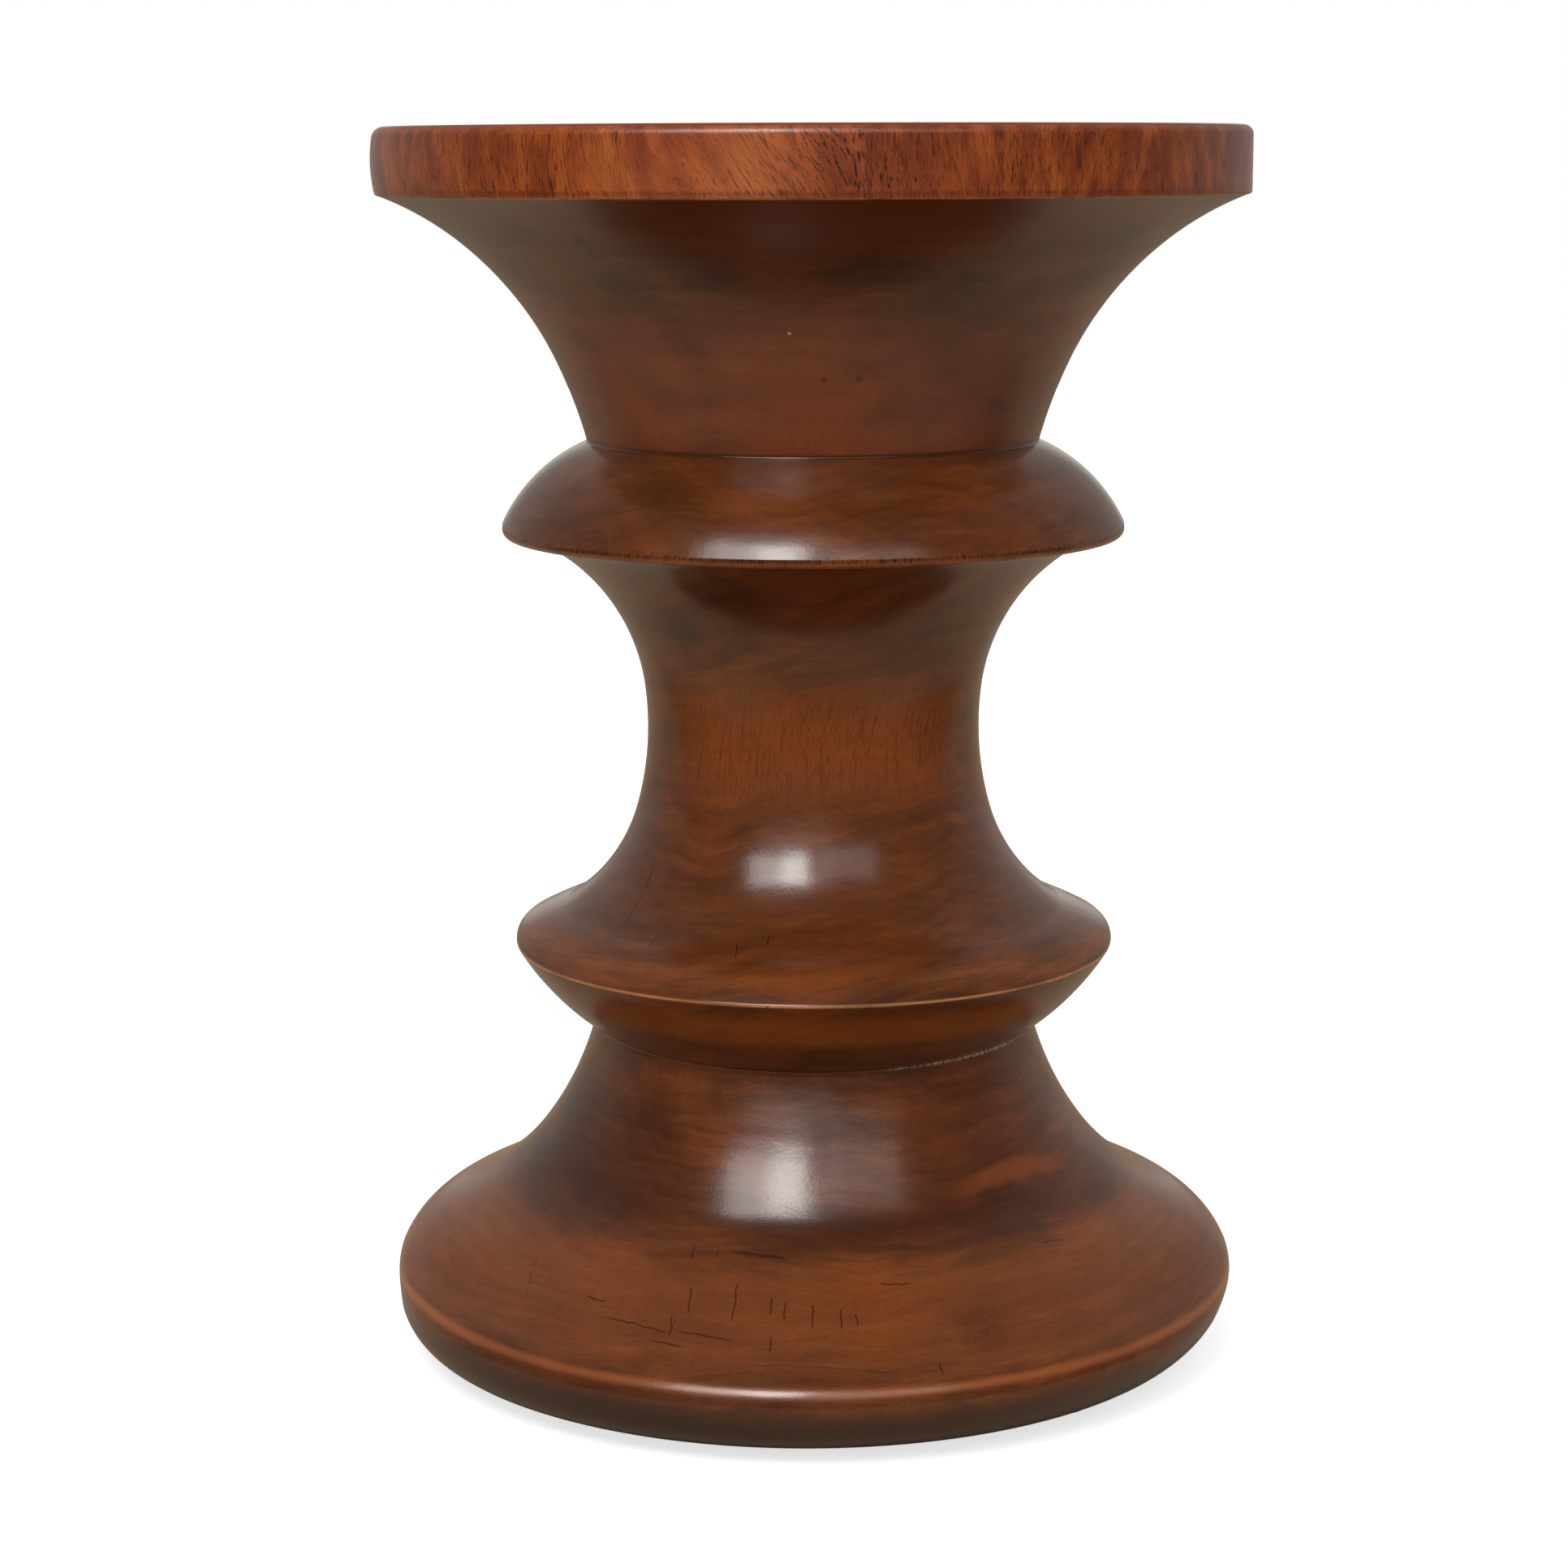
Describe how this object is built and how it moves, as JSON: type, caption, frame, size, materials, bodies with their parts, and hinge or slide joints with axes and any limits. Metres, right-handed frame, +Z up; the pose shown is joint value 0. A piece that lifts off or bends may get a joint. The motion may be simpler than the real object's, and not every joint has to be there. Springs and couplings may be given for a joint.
{
  "type": "drum side table",
  "caption": "Round turned-wood side table in the form of a tall drum: flared top, waisted spool between two rings, and a flared foot.",
  "frame": {"origin": "centre of the footprint, on the floor under the glides", "axes": "+Z up along the turning axis; a body of revolution, so X and Y are free, and X lies to the right in the picture"},
  "size_m": [0.356, 0.356, 0.506],
  "materials": {
    "stained_wood": "reddish-brown stain under satin lacquer",
    "dowel_wood": "bare, fluted",
    "glide_nylon": "moulded",
    "nail_steel": "drawn"
  },
  "bodies": {
    "root": {"top_section": "stained_wood", "middle_section": "stained_wood", "base_section": "stained_wood", "upper_dowel_1": "dowel_wood", "upper_dowel_2": "dowel_wood", "upper_dowel_3": "dowel_wood", "upper_dowel_4": "dowel_wood", "lower_dowel_1": "dowel_wood", "lower_dowel_2": "dowel_wood", "lower_dowel_3": "dowel_wood", "lower_dowel_4": "dowel_wood", "glide_1": "glide_nylon", "glide_2": "glide_nylon", "glide_3": "glide_nylon", "glide_4": "glide_nylon", "glide_nails": "nail_steel"}
  },
  "joints": []
}
